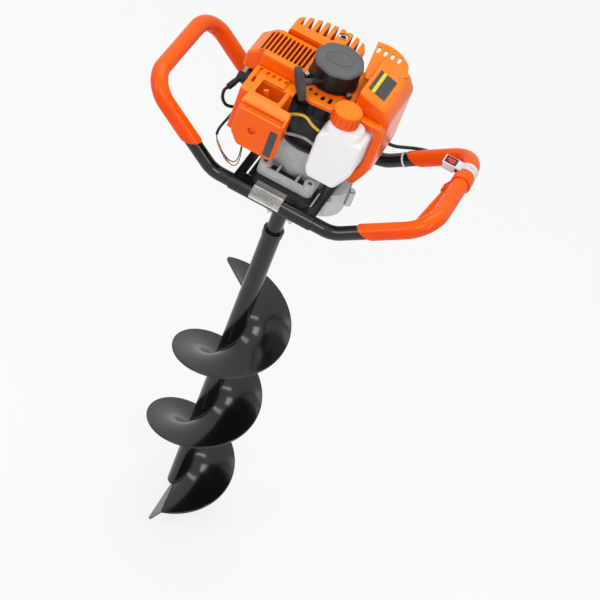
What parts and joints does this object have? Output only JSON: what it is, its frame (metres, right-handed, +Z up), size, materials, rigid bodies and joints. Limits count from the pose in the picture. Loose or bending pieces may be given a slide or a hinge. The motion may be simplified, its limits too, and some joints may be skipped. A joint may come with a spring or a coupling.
{
  "type": "earth auger",
  "caption": "Hand-held petrol earth auger: engine power head on a black tube frame with orange-sleeved handle loops, gearbox and a helical drilling bit for boring post and planting holes.",
  "frame": {"origin": "tip of the pilot drill, on the bit's axis", "axes": "+Z up the bit, +X toward the throttle handle, -Y toward the air filter and fuel cap"},
  "size_m": [0.559, 0.2653, 1.151],
  "materials": {
    "orange_plastic": "glossy moulded",
    "orange_sleeve": "glossy soft PVC",
    "black_paint": "gloss black",
    "cast_alloy": "bead-blasted casting",
    "dark_alloy": "dark casting",
    "steel": "machined",
    "black_plastic": "moulded",
    "grey_plastic": "moulded",
    "rubber": "moulded",
    "tank_plastic": "blow-moulded, milky",
    "foam": "open foam",
    "white_sheet": "white",
    "red_plastic": "moulded",
    "clear_plastic": "soft tube",
    "friction": "clutch lining"
  },
  "bodies": {
    "frame": {"left_handle_tube": "black_paint", "right_handle_tube": "black_paint", "handle_grips": "orange_sleeve", "frame_tray": "black_paint", "fasteners": "steel", "clutch_housing": "cast_alloy", "gear_case_upper": "cast_alloy", "gear_case_lower": "cast_alloy", "bearings_and_seals": "steel", "crankcase_lower": "dark_alloy", "crankcase_upper": "dark_alloy", "engine_cylinder": "cast_alloy", "piston": "cast_alloy", "connecting_rod": "steel", "ignition_coil": "black_plastic", "spark_plug": "steel", "plug_boot": "rubber", "ignition_lead": "rubber", "muffler": "steel", "muffler_guard": "orange_plastic", "carburettor": "dark_alloy", "air_filter_base": "orange_plastic", "air_filter_element": "foam", "air_filter_cover": "orange_plastic", "cylinder_cover": "orange_plastic", "fan_housing": "orange_plastic", "tank_cover": "orange_plastic", "fuel_tank": "tank_plastic", "fuel_lines": "clear_plastic", "starter_housing": "black_plastic", "starter_cap": "grey_plastic", "starter_spring": "steel", "throttle_bracket": "orange_plastic", "control_cables": "rubber", "switch_mount": "white_sheet"},
    "bit": {"output_gear": "steel", "output_shaft": "steel", "auger_tube": "black_paint", "auger_flight": "black_paint", "cutter_blades": "black_paint", "pilot_drill": "steel", "bit_pin": "steel"},
    "idler": {"idler_gear": "steel", "idler_pinion": "steel"},
    "drum": {"clutch_drum": "steel"},
    "crank": {"crankshaft": "steel", "flywheel": "cast_alloy", "clutch_carrier": "steel"},
    "shoe_right": {"clutch_shoe_right": "friction"},
    "shoe_left": {"clutch_shoe_left": "friction"},
    "pull_handle": {"starter_handle": "grey_plastic", "starter_rope": "tank_plastic"},
    "pulley": {"starter_pulley": "grey_plastic"},
    "lever": {"throttle_lever": "orange_plastic"},
    "swivel": {"throttle_swivel": "steel"},
    "primer": {"primer_bulb": "red_plastic"},
    "choke": {"choke_lever": "black_plastic"},
    "rocker": {"switch_rocker": "red_plastic"},
    "seal": {"cap_seal": "rubber"},
    "cap": {"fuel_cap": "orange_plastic"}
  },
  "joints": [
    {"name": "auger_spin", "type": "hinge", "parent": "frame", "child": "bit", "pos_m": [0, 0, 0.875], "axis": [0, 0, 1], "continuous": true},
    {"name": "idler_spin", "type": "hinge", "parent": "frame", "child": "idler", "pos_m": [0.048, 0, 0.885], "axis": [0, 0, 1], "continuous": true},
    {"name": "drum_spin", "type": "hinge", "parent": "frame", "child": "drum", "pos_m": [0, 0, 0.935], "axis": [0, 0, 1], "continuous": true},
    {"name": "crank_spin", "type": "hinge", "parent": "frame", "child": "crank", "pos_m": [0, 0, 1.023], "axis": [0, 0, 1], "continuous": true},
    {"name": "shoe_right_swing", "type": "hinge", "parent": "crank", "child": "shoe_right", "pos_m": [0.014, -0.024, 0.957], "axis": [0, 0, -1], "range_deg": [0, 4], "stiffness_Nm_per_rad": 5, "springref_deg": -2.86},
    {"name": "shoe_left_swing", "type": "hinge", "parent": "crank", "child": "shoe_left", "pos_m": [-0.014, 0.024, 0.957], "axis": [0, 0, -1], "range_deg": [0, 4], "stiffness_Nm_per_rad": 5, "springref_deg": -2.86},
    {"name": "starter_pull", "type": "slide", "parent": "frame", "child": "pull_handle", "axis": [-0.6, -0.8, 0], "range_m": [0, 0.55], "stiffness_N_per_m": 20, "springref_m": -0.3, "deforming": ["starter_rope"]},
    {"name": "pulley_spin", "type": "hinge", "parent": "frame", "child": "pulley", "pos_m": [0, 0, 1.124], "axis": [0, 0, 1], "range_deg": [0, 1051]},
    {"name": "throttle_squeeze", "type": "hinge", "parent": "frame", "child": "lever", "pos_m": [0.248, 0.03, 0.99002], "axis": [-0.866, 0, 0.5], "range_deg": [0, 22], "stiffness_Nm_per_rad": 0.8, "springref_deg": -22.92},
    {"name": "swivel_turn", "type": "hinge", "parent": "frame", "child": "swivel", "pos_m": [-0.072, -0.082, 1.045], "axis": [0, 0, 1], "range_deg": [0, 60]},
    {"name": "primer_press", "type": "slide", "parent": "frame", "child": "primer", "axis": [0, 0, 1], "range_m": [0, 0.003], "stiffness_N_per_m": 400, "springref_m": -0.003},
    {"name": "choke_turn", "type": "hinge", "parent": "frame", "child": "choke", "pos_m": [-0.074, -0.083, 1.065], "axis": [0, 1, 0], "range_deg": [0, 36]},
    {"name": "switch_rock", "type": "hinge", "parent": "frame", "child": "rocker", "pos_m": [0.23, 0.054, 1.023], "axis": [0, -1, 0], "range_deg": [0, 16]},
    {"name": "cap_lift", "type": "slide", "parent": "frame", "child": "seal", "axis": [0, 0, 1], "range_m": [0, 0.012]},
    {"name": "cap_turn", "type": "hinge", "parent": "seal", "child": "cap", "pos_m": [0.058, -0.084, 1.12], "axis": [0, 0, 1], "range_deg": [0, 720]}
  ],
  "couplings": [
    {"joint": "idler_spin", "follows": "auger_spin", "ratio": -4.8182},
    {"joint": "drum_spin", "follows": "auger_spin", "ratio": 29.444},
    {"joint": "shoe_left_swing", "follows": "shoe_right_swing", "ratio": 1},
    {"joint": "pulley_spin", "follows": "starter_pull", "rad_per_m": 33.333},
    {"joint": "swivel_turn", "follows": "throttle_squeeze", "ratio": 2.7273},
    {"joint": "cap_turn", "follows": "cap_lift", "rad_per_m": 1047}
  ]
}
